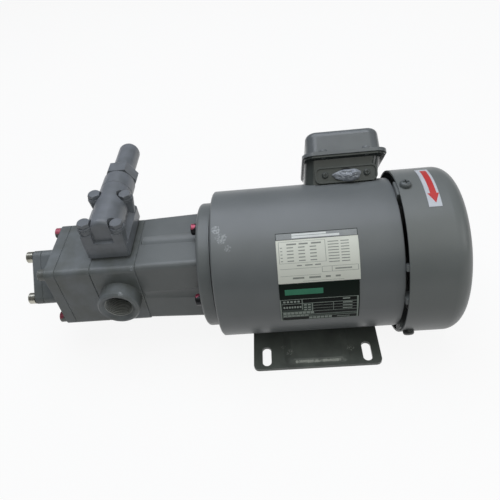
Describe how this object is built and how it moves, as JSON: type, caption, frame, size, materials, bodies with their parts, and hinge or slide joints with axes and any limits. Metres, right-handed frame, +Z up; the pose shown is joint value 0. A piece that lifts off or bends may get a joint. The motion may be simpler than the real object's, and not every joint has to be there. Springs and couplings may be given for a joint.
{
  "type": "hydraulic gear pump",
  "caption": "Trochoid oil pump with a relief valve on top, joined by a square adapter to a foot-mounted, fan-cooled electric motor.",
  "frame": {"origin": "centre of the four foot slots, on the plane that the foot stands on", "axes": "+Y along the shaft from the pump to the fan, +Z up, +X towards the delivery port"},
  "size_m": [0.1891, 0.373, 0.1589],
  "materials": {
    "black_steel": "black oxide",
    "brass_stud": "turned",
    "bronze": "sintered bronze",
    "cast_alloy": "semi-gloss blue-grey enamel over cast aluminium",
    "cast_body": "semi-gloss blue-grey enamel over cast iron",
    "electrical_steel": "varnished laminations",
    "fan_plastic": "matt",
    "ground_steel": "ground",
    "label_white": "printed film",
    "motor_paint": "semi-gloss blue-grey enamel",
    "phenolic": "satin",
    "plate_cream": "printed aluminium plate",
    "plate_dark": "printed aluminium plate",
    "polyurethane": "satin",
    "pump_paint": "semi-gloss blue-grey enamel over cast iron",
    "rubber_black": "matt",
    "seal_paper": "compressed fibre",
    "sintered_steel": "sintered and ground",
    "spring_steel": "oil tempered",
    "winding": "varnished copper wire",
    "zinc_steel": "zinc plated"
  },
  "bodies": {
    "unit": {"motor_frame": "motor_paint", "drive_end_bracket": "cast_alloy", "fan_end_bracket": "cast_alloy", "stator_core": "electrical_steel", "stator_windings": "winding", "bearing_outer_rings": "ground_steel", "bearing_balls": "ground_steel", "preload_washer": "spring_steel", "fan_cover": "motor_paint", "fan_cover_screws": "motor_paint", "foot": "motor_paint", "terminal_box_base": "motor_paint", "terminal_box_gasket": "rubber_black", "terminal_box_lid": "motor_paint", "terminal_box_screws": "motor_paint", "cable_entry_plate": "motor_paint", "cable_entry_grommet": "rubber_black", "cable_entry_screws": "motor_paint", "terminal_block": "phenolic", "terminal_studs": "brass_stud", "rating_plate": "plate_cream", "pump_plate": "plate_dark", "rotation_arrow": "label_white", "adapter": "cast_alloy", "flange_bolts": "black_steel", "port_body": "cast_body", "front_bush": "bronze", "rear_bush": "bronze", "shaft_seal": "rubber_black", "gear_housing": "cast_body", "rear_cover": "cast_body", "end_cap_body": "cast_body", "end_cap_cover": "cast_body", "end_cap_bolts": "zinc_steel", "pump_bolts": "zinc_steel", "valve_gasket": "seal_paper", "valve_body": "cast_body", "valve_bolts": "pump_paint", "valve_washers": "pump_paint", "spring_seat": "ground_steel", "valve_bonnet": "pump_paint", "lock_nut": "zinc_steel", "dome_cap": "pump_paint"},
    "drive_shaft": {"motor_rotor": "electrical_steel", "motor_shaft": "ground_steel", "motor_key": "ground_steel", "bearing_inner_rings": "ground_steel", "fan": "fan_plastic", "motor_coupling_hub": "ground_steel", "coupling_spider": "polyurethane", "pump_coupling_hub": "ground_steel", "pump_shaft": "ground_steel", "pump_keys": "ground_steel", "inner_rotor": "sintered_steel"},
    "outer_rotor": {"outer_rotor": "sintered_steel"},
    "relief_piston": {"relief_piston": "ground_steel", "relief_spring": "spring_steel"},
    "adjusting_screw": {"adjusting_screw": "zinc_steel"}
  },
  "joints": [
    {"name": "shaft_spin", "type": "hinge", "parent": "unit", "child": "drive_shaft", "pos_m": [0, 0, 0.071], "axis": [0, 1, 0], "continuous": true},
    {"name": "outer_rotor_spin", "type": "hinge", "parent": "unit", "child": "outer_rotor", "pos_m": [0, 0, 0.0739], "axis": [0, 1, 0], "continuous": true},
    {"name": "relief_piston_slide", "type": "slide", "parent": "unit", "child": "relief_piston", "axis": [-1, 0, 0], "range_m": [0, 0.004], "stiffness_N_per_m": 8000, "springref_m": -0.004, "deforming": ["relief_spring"]},
    {"name": "adjusting_screw_turn", "type": "hinge", "parent": "unit", "child": "adjusting_screw", "pos_m": [0, -0.1695, 0.128], "axis": [-1, 0, 0], "range_deg": [-180, 180]}
  ],
  "couplings": [
    {"joint": "outer_rotor_spin", "follows": "shaft_spin", "ratio": 0.8}
  ]
}
